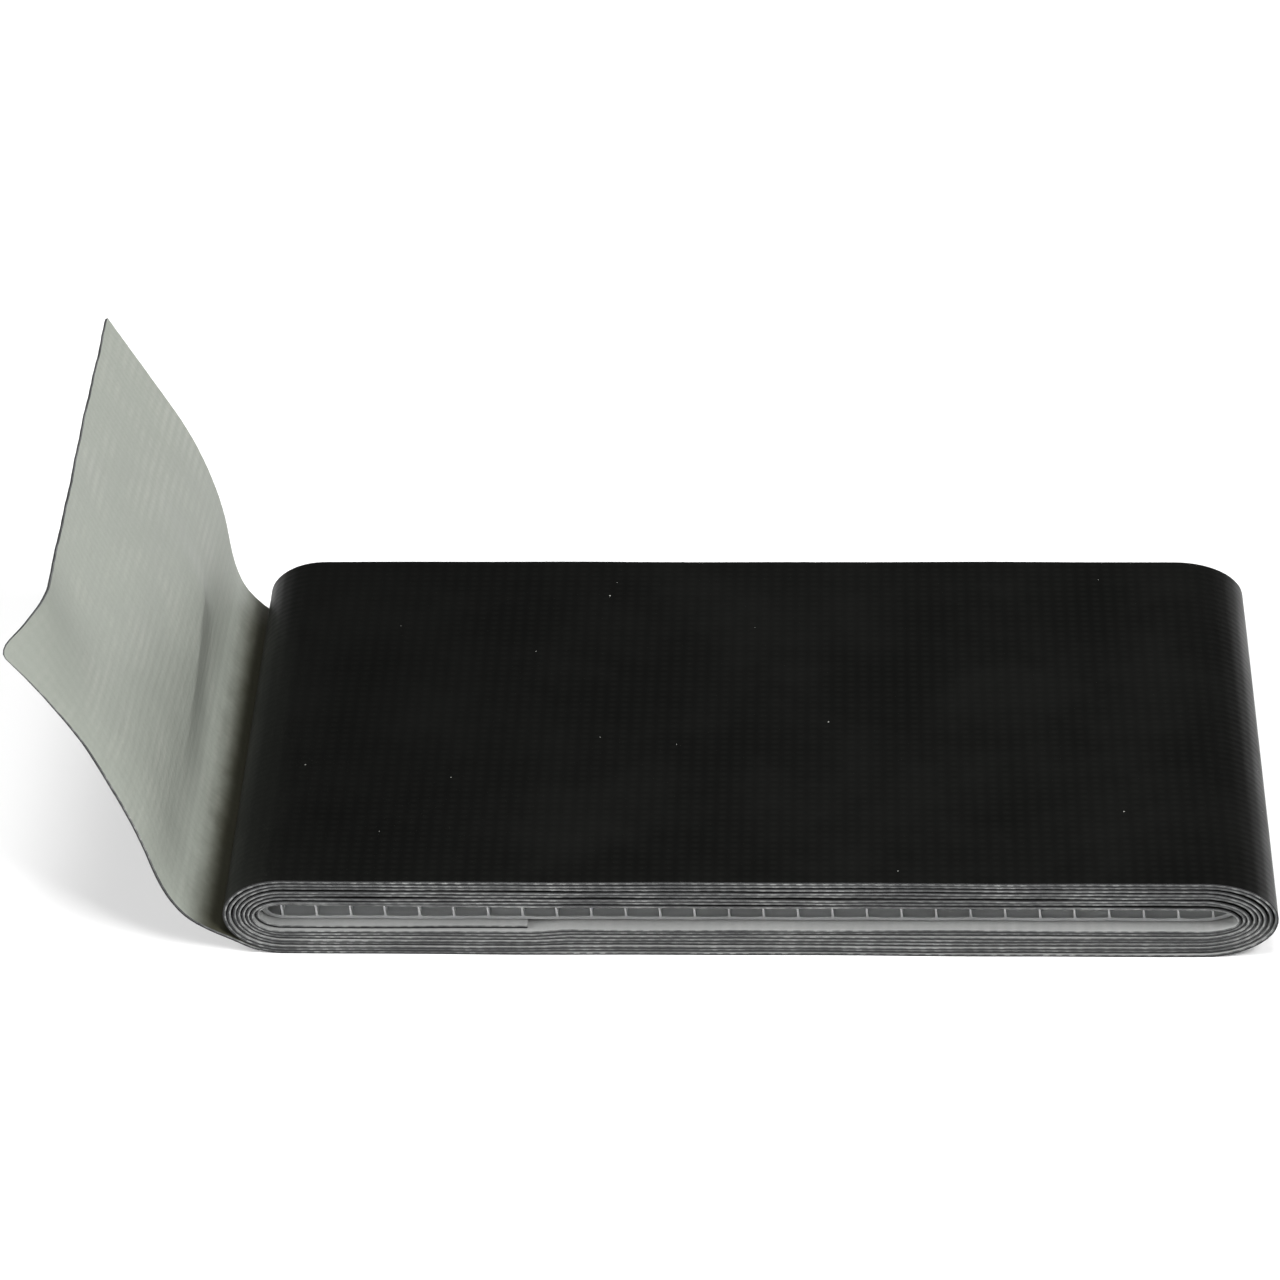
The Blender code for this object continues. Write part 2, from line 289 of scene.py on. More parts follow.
def quads(corners):
    """Faces from four equal arrays of point numbers."""
    return np.stack(corners, -1).reshape(-1, 4)


def grid_corners(number):
    """The four corners of each face of a grid of point numbers."""
    return (number[:-1, :-1], number[1:, :-1], number[1:, 1:], number[:-1, 1:])


def rim_corners(low, top):
    """The four corners of each face between two rows of point numbers."""
    return (low[:-1], low[1:], top[1:], top[:-1])


def shell_faces(low, top):
    """Faces of a closed thin solid between two grids of point numbers: those on the grids, and on its rim."""
    on_grids = [quads(grid_corners(top)), quads(grid_corners(low)[::-1])]
    on_rim = [
        quads(rim_corners(low[:, 0], top[:, 0])),
        quads(rim_corners(low[:, -1], top[:, -1])[::-1]),
        quads(rim_corners(low[0], top[0])[::-1]),
        quads(rim_corners(low[-1], top[-1])),
    ]
    return np.concatenate(on_grids), np.concatenate(on_rim)


def shell(name, inner, outer, uv, materials, point_normals=None):
    """A closed thin solid between two grids of points, rows along the tape and columns across it.

    Material 0 is on the two faces and material 1 on the cut edges."""
    rows, columns, _ = inner.shape
    number = np.arange(rows * columns).reshape(rows, columns)
    on_grids, on_rim = shell_faces(number, number + rows * columns)
    points = np.concatenate([inner.reshape(-1, 3), outer.reshape(-1, 3)])
    mesh = bpy.data.meshes.new(name)
    mesh.from_pydata(points.tolist(), [], np.concatenate([on_grids, on_rim]).tolist())
    turn_outward(mesh)
    for material in materials:
        mesh.materials.append(material)
    slots = np.repeat((0, 1), (len(on_grids), len(on_rim))).astype(np.int32)
    mesh.polygons.foreach_set("material_index", slots)
    point_uv = np.concatenate([uv.reshape(-1, 2)] * 2)
    layer = mesh.uv_layers.new(name="UVMap")
    layer.data.foreach_set("uv", point_uv[corner_points(mesh)].astype(np.float32).ravel())
    mesh.shade_smooth()
    mesh.set_sharp_from_angle(angle=math.radians(50))
    if point_normals is not None:
        set_face_normals(mesh, point_normals, slots)
    return linked(name, mesh)


def linked(name, data):
    """A new object in the scene."""
    new = bpy.data.objects.new(name, data)
    bpy.context.scene.collection.objects.link(new)
    return new


def corner_points(mesh):
    """The number of the point at each face corner."""
    numbers = np.empty(len(mesh.loops), np.int32)
    mesh.loops.foreach_get("vertex_index", numbers)
    return numbers


def turn_outward(mesh):
    """Flip a closed mesh whose faces point in."""
    mesh.calc_loop_triangles()
    points = np.empty(len(mesh.vertices) * 3)
    mesh.vertices.foreach_get("co", points)
    triangles = np.empty(len(mesh.loop_triangles) * 3, np.int32)
    mesh.loop_triangles.foreach_get("vertices", triangles)
    a, b, c = points.reshape(-1, 3)[triangles.reshape(-1, 3)].transpose(1, 0, 2)
    if (a * np.cross(b, c)).sum() < 0:
        mesh.flip_normals()


def set_face_normals(mesh, point_normals, slots):
    """Give the two faces the normals of the whole sheet, so that a seam between two pieces doesn't show."""
    loops = np.empty(len(mesh.loops) * 3)
    mesh.loops.foreach_get("normal", loops)
    loops = loops.reshape(-1, 3)
    per_loop = np.repeat(slots, 4)
    on_face = per_loop == 0
    loops[on_face] = point_normals[corner_points(mesh)[on_face]]
    mesh.normals_split_custom_set(loops.tolist())


# ---------------------------------------------------------------- materials


class Nodes:
    """A Principled material with short calls for its nodes."""

    def __init__(self, name):
        self.material = bpy.data.materials.new(name)
        self.material.use_nodes = True
        self.tree = self.material.node_tree
        self.shader = self.tree.nodes["Principled BSDF"]
        self.uv = self.add("ShaderNodeUVMap").outputs["UV"]
        self.place = self.add("ShaderNodeTexCoord").outputs["Object"]

    def add(self, kind, **settings):
        node = self.tree.nodes.new(kind)
        for key, value in settings.items():
            setattr(node, key, value)
        return node

    def link(self, source, target):
        if isinstance(source, (int, float, tuple)):
            target.default_value = source
        else:
            self.tree.links.new(source, target)

    def math(self, operation, a, b=0.0, c=0.0):
        node = self.add("ShaderNodeMath", operation=operation)
        for value, socket in zip((a, b, c), node.inputs):
            self.link(value, socket)
        return node.outputs[0]

    def noise(self, scale, detail=3.0, roughness=0.5, vector=None, distortion=0.0):
        node = self.add("ShaderNodeTexNoise")
        self.link(self.place if vector is None else vector, node.inputs["Vector"])
        node.inputs["Scale"].default_value = scale
        node.inputs["Detail"].default_value = detail
        node.inputs["Roughness"].default_value = roughness
        node.inputs["Distortion"].default_value = distortion
        return node.outputs["Fac"]

    def spread(self, value, low, high, to_low, to_high):
        node = self.add("ShaderNodeMapRange", interpolation_type="SMOOTHSTEP")
        for name, number in (("From Min", low), ("From Max", high), ("To Min", to_low), ("To Max", to_high)):
            node.inputs[name].default_value = number
        self.link(value, node.inputs["Value"])
        return node.outputs["Result"]

    def mix(self, amount, a, b, blend="MIX"):
        node = self.add("ShaderNodeMix", data_type="RGBA", blend_type=blend)
        self.link(amount, node.inputs["Factor"])
        for value, socket in ((a, node.inputs[6]), (b, node.inputs[7])):
            self.link((*value, 1.0) if isinstance(value, tuple) and len(value) == 3 else value, socket)
        return node.outputs[2]

    def stripes(self, coordinate, pitch):
        """Ridges of the given pitch along one coordinate, from 0 to 1."""
        turned = self.math("MULTIPLY", coordinate, 2 * math.pi / pitch)
        return self.math("MULTIPLY_ADD", self.math("COSINE", turned), 0.5, 0.5)

    def bump(self, height, strength, distance=FINE_BUMP):
        node = self.add("ShaderNodeBump")
        node.inputs["Strength"].default_value = strength
        node.inputs["Distance"].default_value = distance
        self.link(height, node.inputs["Height"])
        return node.outputs["Normal"]

    def finish(self, colour, roughness, normal=None, specular=0.5, **sockets):
        """Wire up the shader. Other sockets are given by name, with _ for a space, and take a constant."""
        self.link(colour, self.shader.inputs["Base Color"])
        self.link(roughness, self.shader.inputs["Roughness"])
        self.shader.inputs["Specular IOR Level"].default_value = specular
        if normal is not None:
            self.link(normal, self.shader.inputs["Normal"])
        for name, value in sockets.items():
            self.shader.inputs[name.replace("_", " ")].default_value = value
        return self.material


def film_face():
    """Black polyethylene: the cloth's yarns show through faintly, with scuffs and a few specks of dust."""
    n = Nodes("film_face")
    u, v, _ = split(n, n.uv)
    weft = n.stripes(u, WEFT_PITCH)
    warp = n.stripes(v, WARP_PITCH)
    blotches = n.noise(90.0, 4.0, 0.6)
    fine = n.noise(2600.0, 2.0, 0.6)
    patch = n.noise(38.0, 2.0, 0.5)
    weave = n.math("MULTIPLY_ADD", warp, 0.45, n.math("MULTIPLY", weft, 0.55))
    height = n.math("MULTIPLY_ADD", fine, 0.5, n.math("MULTIPLY", weave, n.spread(patch, 0.3, 0.7, 0.5, 1.0)))
    colour = n.mix(n.spread(blotches, 0.3, 0.75, 0.0, 1.0), scaled(BLACK, 0.8), scaled(BLACK, 1.4))
    colour = n.mix(n.math("MULTIPLY", n.math("MULTIPLY", weft, warp), 0.5), colour, scaled(BLACK, 2.4))
    colour = n.mix(specks(n), colour, DUST)
    scuffs = n.spread(n.noise(420.0, 5.0, 0.7, distortion=0.6), 0.55, 0.8, 0.0, 0.09)
    roughness = n.math("ADD", n.spread(blotches, 0.25, 0.8, 0.36, 0.5), scuffs)
    return n.finish(colour, roughness, n.bump(height, 0.55), specular=0.16)


def scaled(colour, factor):
    return tuple(channel * factor for channel in colour)


def split(n, vector):
    node = n.add("ShaderNodeSeparateXYZ")
    n.link(vector, node.inputs[0])
    return node.outputs


def specks(n):
    """Sparse tiny dots of dust."""
    cells = n.add("ShaderNodeTexVoronoi", voronoi_dimensions="2D")
    n.link(n.uv, cells.inputs["Vector"])
    cells.inputs["Scale"].default_value = 150.0
    pick = n.add("ShaderNodeSeparateColor")
    n.link(cells.outputs["Color"], pick.inputs[0])
    size = n.math("MULTIPLY_ADD", pick.outputs[1], 0.009, 0.003)
    dot = n.math("LESS_THAN", cells.outputs["Distance"], size)
    return n.math("MULTIPLY", dot, n.math("GREATER_THAN", pick.outputs[0], 0.8))


def film_edge():
    """The film's cut edge: dark, with pale smears of adhesive dragged across it by the knife."""
    n = Nodes("film_edge")
    smear = n.noise(900.0, 5.0, 0.65, distortion=0.4)
    drag = n.noise(160.0, 3.0, 0.5)
    amount = n.math("MULTIPLY", n.spread(smear, 0.45, 0.75, 0.0, 1.0), n.spread(drag, 0.35, 0.7, 0.1, 0.9))
    colour = n.mix(amount, EDGE_BLACK, EDGE_SMEAR)
    return n.finish(colour, n.spread(smear, 0.3, 0.7, 0.4, 0.6), n.bump(smear, 0.6), specular=0.3)


def cloth_face(peel_length):
    """Grey-green adhesive with yarns showing through, with painted shade: tinted and darker in the pack,
    darker just past the peel line, along the crease and on the near corner of the cut end.
    """
    n = Nodes("cloth_face")
    u, v, _ = split(n, n.uv)
    weft = n.stripes(n.math("MULTIPLY_ADD", n.noise(300.0, 2.0, 0.5), 0.00022, u), WEFT_PITCH)
    warp = n.stripes(n.math("MULTIPLY_ADD", n.noise(260.0, 2.0, 0.5), 0.00015, v), WARP_PITCH)
    blotches = n.noise(70.0, 4.0, 0.55)
    grain = n.noise(3200.0, 3.0, 0.7)
    colour = cloth_colour(n, weft, warp, blotches, grain)
    # painted shade: tinted and darker adhesive inside the pack, and darker just past the peel line
    colour = n.mix(1.0, colour, cloth_tint_and_shade(n, u, peel_length), blend="MULTIPLY")
    # painted shade along the low side of the crease
    crease_shade = n.math("MULTIPLY", crease_shade_band(n, u, v, peel_length), 0.42)
    colour = n.mix(crease_shade, colour, scaled(ADHESIVE, 0.5))
    # painted shade on the near corner of the cut end
    corner_shade = n.math("MULTIPLY", corner_shade_mask(n, u, v, peel_length), 0.5)
    colour = n.mix(corner_shade, colour, scaled(ADHESIVE, 0.56))
    yarns = n.math("MULTIPLY_ADD", grain, 0.35, n.math("MULTIPLY", weft, 0.5))
    height = n.math("MULTIPLY_ADD", warp, 0.25, yarns)
    return n.finish(colour, n.spread(blotches, 0.3, 0.75, 0.46, 0.6), n.bump(height, 0.7), specular=0.3)


def cloth_colour(n, weft, warp, blotches, grain):
    """The clean adhesive's colour: cloudy, with pale weft yarns, fainter dark warp yarns and a fine grain."""
    colour = n.mix(n.spread(blotches, 0.3, 0.7, 0.0, 1.0), scaled(ADHESIVE, 0.94), scaled(ADHESIVE, 1.06))
    streak = n.spread(n.noise(190.0, 3.0, 0.6), 0.4, 0.72, 0.03, 0.42)
    colour = n.mix(n.math("MULTIPLY", weft, streak), colour, YARN)
    colour = n.mix(n.math("MULTIPLY", warp, 0.16), colour, scaled(ADHESIVE, 0.8))
    return n.mix(n.spread(grain, 0.35, 0.75, 0.0, 0.2), colour, scaled(ADHESIVE, 0.68))


def cloth_tint_and_shade(n, u, peel_length):
    """What the adhesive's colour is multiplied by: a tint with painted shade inside the pack, painted shade
    just past the peel line, and 1 past that.
    """
    wound = n.math("LESS_THAN", u, peel_length - 0.008)
    tone = n.mix(peel_lit_share(n, u, peel_length), PEEL_SHADE, (1.0, 1.0, 1.0))
    return n.mix(wound, tone, WOUND_TINT_AND_SHADE)


def corner_shade_mask(n, u, v, peel_length):
    """1 on the near corner of the cut end, which is darkened there as painted shade."""
    end = peel_length + TAIL_LENGTH
    along = n.spread(u, end - 0.016, end - 0.003, 0.0, 1.0)
    return n.math("MULTIPLY", along, n.spread(v, -0.022, -0.011, 1.0, 0.0))


def crease_shade_band(n, u, v, peel_length):
    """Painted shade on the low side of the crease: sharp along the fold and fading towards the peel line."""
    ragged = n.math("MULTIPLY_ADD", n.noise(260.0, 3.0, 0.5), 0.0008, u)
    straight = n.math("SUBTRACT", ragged, peel_length + CREASE_PLACE + 0.0004)
    past = n.math("MULTIPLY_ADD", v, -CREASE_SLANT, straight)
    rise = n.spread(past, -0.0066, -0.0012, 0.0, 1.0)
    along = n.math("MULTIPLY", rise, n.spread(past, -0.0002, 0.0007, 1.0, 0.0))
    near = n.spread(v, -0.017, 0.004, 0.0, 1.0)
    far = n.spread(v, CREASE_FAR_END - 0.0042, CREASE_FAR_END, 1.0, 0.0)
    return n.math("MULTIPLY", along, n.math("MULTIPLY", near, far))


def peel_lit_share(n, u, peel_length):
    """1 on adhesive in full light and 0 in the painted shade next to the peel line, which ends a few
    millimetres past it.
    """
    ragged = n.math("MULTIPLY_ADD", n.noise(330.0, 4.0, 0.6), 0.0016, u)
    past = n.math("SUBTRACT", ragged, peel_length)
    return n.spread(past, 0.0041, 0.0086, 0.0, 1.0)


def cloth_edge(name, contrast):
    """The cloth's cut edge: yarn ends in darker adhesive, smeared together in places."""
    n = Nodes(name)
    u, v, _ = split(n, n.uv)
    ends = n.spread(n.stripes(u, WEFT_PITCH), 0.35, 0.8, 1.0 - contrast, 1.0)
    smear = n.spread(n.noise(230.0, 4.0, 0.65), 0.38, 0.68, 0.12, 1.0)
    fibres = n.noise(4200.0, 3.0, 0.7)
    pale = n.math("MULTIPLY", ends, smear)
    colour = n.mix(pale, YARN_END_DARK, YARN_END_PALE)
    colour = n.mix(n.spread(fibres, 0.35, 0.7, 0.0, 0.6), colour, YARN_END_GREY)
    roughness = n.spread(fibres, 0.3, 0.7, 0.5, 0.7)
    return n.finish(colour, roughness, n.bump(fibres, 0.7, distance=0.00004), specular=0.3)


def board_plastic():
    """Translucent polypropylene board: milky, with faint drawn lines along the flutes and painted shade at
    the cuts, the foot and the tips.
    """
    n = Nodes("board_plastic")
    lines = n.add("ShaderNodeMapping")
    n.link(n.place, lines.inputs["Vector"])
    lines.inputs["Scale"].default_value = (1.0, 0.04, 1.0)
    drawn = n.noise(2400.0, 3.0, 0.6, vector=lines.outputs[0])
    cloudy = n.noise(240.0, 3.0, 0.5)
    colour = n.mix(n.spread(cloudy, 0.3, 0.7, 0.0, 1.0), BOARD_MILKY, BOARD_PALE)
    colour = n.mix(n.spread(drawn, 0.4, 0.7, 0.0, 0.3), colour, BOARD_LINE)
    colour = board_painted_shade(n, colour)
    roughness = n.spread(drawn, 0.3, 0.7, 0.36, 0.5)
    return n.finish(
        colour, roughness, n.bump(drawn, 0.5), specular=0.35,
        Subsurface_Weight=1.0, Subsurface_Radius=(0.0042, 0.0042, 0.0040), Transmission_Weight=0.12,
    )


def board_painted_shade(n, colour):
    """The board's colour with painted shade where little light gets in: darker at the cuts, the foot and the
    tips.
    """
    x, y, z = split(n, n.place)
    half = BOARD[1][1]
    cut = n.spread(n.math("ABSOLUTE", y), half - 0.0008, half - 0.0002, 0.0, 0.55)
    colour = n.mix(cut, colour, BOARD_CUT_SHADE)
    bottom = BOARD[0][2]
    foot = n.spread(z, bottom + LINER_THICKNESS * 0.9, bottom + LINER_THICKNESS * 2.5, 0.5, 0.0)
    colour = n.mix(foot, colour, BOARD_FOOT_SHADE)
    left, right = BOARD[0][0], BOARD[1][0]
    left_tip_shade = n.spread(x, left + 0.0006, left + 0.0020, 0.75, 0.0)
    right_tip_shade = n.spread(x, right - 0.0018, right - 0.0004, 0.0, 0.4)
    return n.mix(n.math("MAXIMUM", left_tip_shade, right_tip_shade), colour, BOARD_TIP_SHADE)


# ---------------------------------------------------------------- the board


def flute_places():
    """The middle of each web: a whole number of flutes, centred on the board."""
    flutes = int((BOARD[1][0] - BOARD[0][0] - 2 * TIP_ROOM) / FLUTE_PITCH)
    return [(i - flutes / 2) * FLUTE_PITCH for i in range(flutes + 1)]


def past_flat(x):
    """How far into one of the board's rounded tips a place lies: 0 on the flat stretch and 1 at the tip."""
    past_left = (FLAT_LEFT - x) / (FLAT_LEFT - BOARD[0][0])
    past_right = (x - FLAT_RIGHT) / RIGHT_CRUSH
    return max(0.0, past_left, past_right)


def half_height(x):
    """Half the board's thickness at x."""
    return (BOARD[1][2] - BOARD[0][2]) / 2 * math.sqrt(1.0 - past_flat(x) ** 2)


def board_columns():
    """Where the board's section has points, each with the liners' sag there, and which ones start a web."""
    columns = []
    webs = []
    places = flute_places()
    for number, x in enumerate(places):
        webs.append(len(columns))
        columns += [(x - WEB_THICKNESS / 2, 0.0), (x + WEB_THICKNESS / 2, 0.0)]
        if number < len(places) - 1:
            for part in LINER_PLACES:
                inside = x + WEB_THICKNESS / 2 + part * (FLUTE_PITCH - WEB_THICKNESS)
                columns.append((inside, LINER_SAG * math.sin(math.pi * part)))
    return columns, webs


def board_rings():
    """The board's outer and inner outlines from the underside at the left, its webs and its column count."""
    columns, webs = board_columns()
    middle = (BOARD[0][2] + BOARD[1][2]) / 2
    outer, inner = [], []
    for x, sag in columns:
        outer.append((x, middle - half_height(x)))
        inner.append((x, middle - half_height(x) + LINER_THICKNESS - sag))
    add_tip(outer, inner, FLAT_RIGHT, BOARD[1][0], 1)
    for x, sag in reversed(columns):
        outer.append((x, middle + half_height(x)))
        inner.append((x - WEB_SLANT, middle + half_height(x) - LINER_THICKNESS + sag))
    add_tip(outer, inner, FLAT_LEFT, BOARD[0][0], -1)
    return np.array(outer), np.array(inner), webs, len(columns)


def add_tip(outer, inner, base_x, tip_x, direction):
    """Carry both outlines round one end of the board, past its last web."""
    bottom, top = BOARD[0][2], BOARD[1][2]
    half = (top - bottom) / 2
    start = math.asin(past_flat(outer[-1][0]))
    for step in range(1, TIP_STEPS):
        angle = start + (math.pi - 2 * start) * step / TIP_STEPS
        rise = -half * math.cos(angle) * direction
        side = math.sin(angle)
        outer.append((base_x + (tip_x - base_x) * side, bottom + half + rise))
        shrink = 1 - LINER_THICKNESS / half
        reach = (tip_x - base_x) * side - direction * 1.6 * LINER_THICKNESS * side
        inner.append((base_x + reach, bottom + half + rise * shrink))


def board_section():
    """Points and faces of the board's section: the liner all the way round, and the webs with flared feet."""
    outer, inner, webs, count = board_rings()
    ring = len(outer)
    points = [tuple(p) for p in np.concatenate([outer, inner])]
    faces = [(i, (i + 1) % ring, ring + (i + 1) % ring, ring + i) for i in range(ring)]
    top_start = count + TIP_STEPS - 1
    for web in webs:
        low = (ring + web, ring + web + 1)
        top_left = ring + top_start + (count - 1 - web)
        high = (top_left, top_left - 1)
        previous = low
        for height, squeeze in WEB_WAIST:
            left = np.array(points[low[0]]) * (1 - height) + np.array(points[high[0]]) * height
            right = np.array(points[low[1]]) * (1 - height) + np.array(points[high[1]]) * height
            inward = (right - left) * squeeze
            points += [tuple(left + inward), tuple(right - inward)]
            level = (len(points) - 2, len(points) - 1)
            faces.append((previous[0], previous[1], level[1], level[0]))
            previous = level
        faces.append((previous[0], previous[1], high[1], high[0]))
    return np.array(points), faces


def board_rows():
    """Places across the board, from cut to cut, each with how far its outline is drawn in there."""
    half = BOARD[1][1]
    near = [(-half, BOARD_CORNER), (-half + BOARD_CORNER, 0.0), (-half + 0.001, 0.0)]
    middle = [(y, 0.0) for y in np.linspace(-half / 2, half / 2, 3)]
    return near + middle + [(-y, drawn_in) for y, drawn_in in reversed(near)]


def board_layers(solid, points):
    """The section's points at each place across the board, with slightly uneven cuts."""
    half = BOARD[1][1]
    middle = points.mean(axis=0)[1]
    uneven = CUT_UNEVENNESS * (wave(points[:, 0], 61, (0.011, 0.0043, 0.0017)) + 1)
    layers = []
    for y, drawn_in in board_rows():
        z = points[:, 1] + np.sign(middle - points[:, 1]) * drawn_in * 0.5
        shift = np.where(abs(y) > half - 0.0005, -np.sign(y) * uneven, 0.0)
        layers.append([solid.verts.new((x, y + d, h)) for x, h, d in zip(points[:, 0], z, shift)])
    return layers


def board_mesh():
    """The fluted board as one closed mesh."""
    points, faces = board_section()
    solid = bmesh.new()
    layers = board_layers(solid, points)
    for layer in (layers[0], layers[-1]):
        for face in faces:
            solid.faces.new([layer[i] for i in face])
    for a, b in boundary_edges(faces):
        for near, far in zip(layers, layers[1:]):
            solid.faces.new((near[a], near[b], far[b], far[a]))
    remove_loose(solid)
    bmesh.ops.recalc_face_normals(solid, faces=solid.faces)
    mesh = bpy.data.meshes.new("fluted_board")
    solid.to_mesh(mesh)
    solid.free()
    return mesh


def make_board():
    mesh = board_mesh()
    mesh.shade_smooth()
    mesh.set_sharp_from_angle(angle=math.radians(40))
    mesh.materials.append(board_plastic())
    piece = linked("fluted_board", mesh)
    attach(piece, "pack")
    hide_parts("core_board")


def boundary_edges(faces):
    """Edges of a section that belong to one face only."""
    seen = {}
    for face in faces:
        for a, b in zip(face, face[1:] + face[:1]):
            key = (min(a, b), max(a, b))
            seen.setdefault(key, []).append((a, b))
    return [pairs[0] for pairs in seen.values() if len(pairs) == 1]


def remove_loose(solid):
    """Drop points inside the section on the rows between the two cuts."""
    loose = [v for v in solid.verts if not v.link_faces]
    bmesh.ops.delete(solid, geom=loose, context="VERTS")


# ---------------------------------------------------------------- the wound tape


def columns_across(half_width, fine):
    """Places across the tape: close at the two edges, and between them where the weave is modelled."""
    edge = [0.0, 0.00022, 0.0009]
    near = [-half_width + e for e in edge]
    middle = list(np.linspace(near[-1], -near[-1], fine + 2)[1:-1])
    return np.array(near + middle + [-y for y in reversed(near)])


def edge_zone(across, half_width, side, zone):
    """1 at one edge of the tape (the near one for side -1), easing to 0 at a share of its half width."""
    return ease((side * across / half_width - zone) / (1 - zone))


def cut_yarns(length):
    """How far the cloth's edge stands out where each weft yarn was cut."""
    return YARN_END * ease(yarn_bump(length, WEFT_PITCH) * YARN_END_WIDTH - 0.5)


def wound_line(turn, outline):
    """A wound length's path as it lies: its points, their normals and their lengths along it."""
    points, along = resampled(outline, WEFT_PITCH / SAMPLES_PER_YARN)
    normals = outward_normals(points)
    if turn < TURNS:
        points = points + normals * (looseness(points) * wave(along, SEED + turn))[:, None]
    if turn > 0:
        points[:, 1] += rise_past_tab(points, turn)
    return points, normals, along


def wound_pieces(turn, outline, start, materials):
    """The film and cloth of one wound length; the tab is turn 0. start is the length of tape before it."""
    node = wound_node(turn)
    outermost = turn == TURNS
    half_width = wound_half_width(turn)
    points, normals, along = wound_line(turn, outline)
    across = columns_across(half_width, OUTER_COLUMNS if outermost else 0)
    length = start + along
    wander = EDGE_WANDER * wave(length, 50, (0.31, 0.047, 0.019))
    if turn == 1:
        wander = wander - (HALF_WIDTH - TAB_HALF_WIDTH) * (1 - ease(along / TAB_RUN_OUT))
    uv = np.stack(np.meshgrid(length, across, indexing="ij"), -1)
    pieces = []
    for ply, (inner, outer) in PLY_FACES.items():
        stray = wander + (cut_yarns(length) if ply == "adhesive" else 0.0)
        y = edge_places(across, half_width, stray)
        relief = weave_relief(length, across) if outermost and ply == "film" else 0.0
        grids = [offset_grid(points, normals, y, distance) for distance in (inner, outer + relief)]
        kind = "outer adhesive" if outermost and ply == "adhesive" else ply
        piece = shell(f"wound_{node}_{ply}", *grids, uv, materials[kind])
        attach(piece, "pack")
        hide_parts(f"{node}_{ply}")
        pieces.append(piece)
    return pieces, length[-1]


def edge_places(across, half_width, stray):
    """Places across the tape at each length along it, with its two edges moved outward by stray."""
    y = np.broadcast_to(across, (len(stray), len(across))).copy()
    for side in (-1, 1):
        y += side * edge_zone(across, half_width, side, EDGE_ZONE) * stray[:, None]
    return y


def offset_grid(points, normals, y, distance):
    """A grid of points at a distance from the path, which may differ from point to point."""
    distance = np.broadcast_to(distance, y.shape)
    x = points[:, :1] + normals[:, :1] * distance
    z = points[:, 1:] + normals[:, 1:] * distance
    return np.stack([x, y, z], -1)


def weave_relief(length, across):
    """Faint ridges of the weft yarns pressed through the film, stronger in some patches."""
    patch = 0.6 + 0.4 * wave(length, 7)[:, None] * wave(across, 8, (0.031, 0.012, 0.005))[None, :]
    return 0.35 * YARN_RELIEF * patch * (yarn_bump(length, WEFT_PITCH) - 1.0)[:, None]


def wound_node(turn):
    """The name of a wound length, as the CAD's nodes have it. The tab is turn 0."""
    return f"turn_{turn}" if turn else "start_tab"


def wound_half_width(turn):
    """Half the width of a wound length. The tab, turn 0, lies a little inside the turns' edges."""
    return HALF_WIDTH if turn else TAB_HALF_WIDTH


def wound_outlines():
    """The outline of each wound length of the strip, from its inner end: the tab and then the turns."""
    height = low_level(0)
    tab = np.array([[TAB_FILM[1][0], height], [FLAT_LEFT, height]])
    return [tab] + [turn_outline(turn) for turn in range(1, TURNS + 1)]


def make_wound_tape(outlines, materials):
    """The tab and the turns, each a sheet of film and a sheet of cloth. Returns the last turn's two."""
    used = 0.0
    for turn, outline in enumerate(outlines):
        pieces, stop = wound_pieces(turn, outline, used, materials)
        used = stop
    return pieces


# ---------------------------------------------------------------- the free tail


def tail_slope(s, y):
    """Slope above level, in radians, at lengths s along the tail and places y across it."""
    end = left_bend_slope()
    stations = (0.0, *TAIL_STATIONS, TAIL_LENGTH)
    near = np.interp(s, stations, (end, *np.radians(NEAR_SLOPES)))
    far = np.interp(s, stations, (end, *np.radians(FAR_SLOPES)))
    across = (y + HALF_WIDTH) / (2 * HALF_WIDTH)
    margin = np.maximum(0.0, 1.0 - (y + HALF_WIDTH) / CURL_MARGIN) ** 2
    start = np.clip(s / TAIL_STATIONS[0], 0.0, 1.0)
    corner = np.maximum(0.0, 1.0 - (TAIL_LENGTH - s) / CORNER_REACH)
    return near + (far - near) * across - margin * (EDGE_CURL * start + CORNER_CURL * corner)


def left_bend_slope():
    """Slope above level of the outermost left bend, where the tail leaves it."""
    half = (high_level(TURNS + 1) - low_level(TURNS)) / 2
    reach = FLAT_LEFT - left_tip(TURNS + 1)
    return math.atan2(half * math.sin(PEEL_ANGLE), reach * math.cos(PEEL_ANGLE))


def tail_sheet_points(s, across):
    """Points of the tail's path surface, for a grid of lengths along it and places across it.

    Below length 0 they follow the pack's left bend."""
    bend = half_ellipse(
        FLAT_LEFT, left_tip(TURNS + 1), low_level(TURNS), high_level(TURNS + 1), PEEL_ANGLE, 400
    )
    bend_s = arc_lengths(bend)
    bend_s -= bend_s[-1]
    middle = (s[1:] + s[:-1]) / 2
    slope = smooth_slopes(middle, across)
    step = np.diff(s, axis=0)
    before = middle < 0
    moves_x = np.where(before, np.diff(np.interp(s, bend_s, bend[:, 0]), axis=0), -np.cos(slope) * step)
    moves_z = np.where(before, np.diff(np.interp(s, bend_s, bend[:, 1]), axis=0), np.sin(slope) * step)
    x0 = np.interp(s[0, 0], bend_s, bend[:, 0])
    z0 = np.interp(s[0, 0], bend_s, bend[:, 1])
    start = np.zeros((1, len(across)))
    x = x0 + np.concatenate([start, np.cumsum(moves_x, axis=0)])
    z = z0 + np.concatenate([start, np.cumsum(moves_z, axis=0)])
    y = np.broadcast_to(across, x.shape)
    return np.stack([x, y, z], -1)


